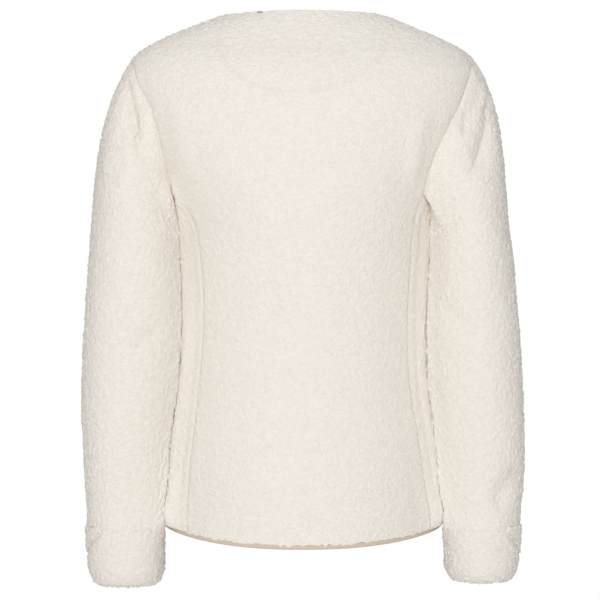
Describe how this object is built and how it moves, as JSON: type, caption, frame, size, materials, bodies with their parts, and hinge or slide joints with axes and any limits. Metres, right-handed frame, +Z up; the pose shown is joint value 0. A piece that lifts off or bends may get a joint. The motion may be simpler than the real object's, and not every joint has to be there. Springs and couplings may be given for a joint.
{
  "type": "sherpa cardigan",
  "caption": "Hip-length sherpa fleece cardigan, filled out as if worn, with set-in sleeves, turned-back cuffs, shaped back seams and a narrow beige edge binding.",
  "frame": {"origin": "midway between the two points where the neck edge meets the shoulder seams", "axes": "+Z up, +X towards the wearer's left, the front faces -Y"},
  "size_m": [0.5154, 0.2632, 0.6665],
  "materials": {
    "sherpa": "curly pile, matte",
    "binding": "smooth, matte"
  },
  "bodies": {
    "root": {"back_panel": "sherpa", "side_back_left": "sherpa", "side_back_right": "sherpa", "front_left": "sherpa", "front_right": "sherpa", "sleeve_left": "sherpa", "sleeve_right": "sherpa", "cuff_left": "sherpa", "cuff_right": "sherpa", "hem_binding": "binding", "front_binding_left": "binding", "front_binding_right": "binding", "neck_tape": "binding"}
  },
  "joints": []
}
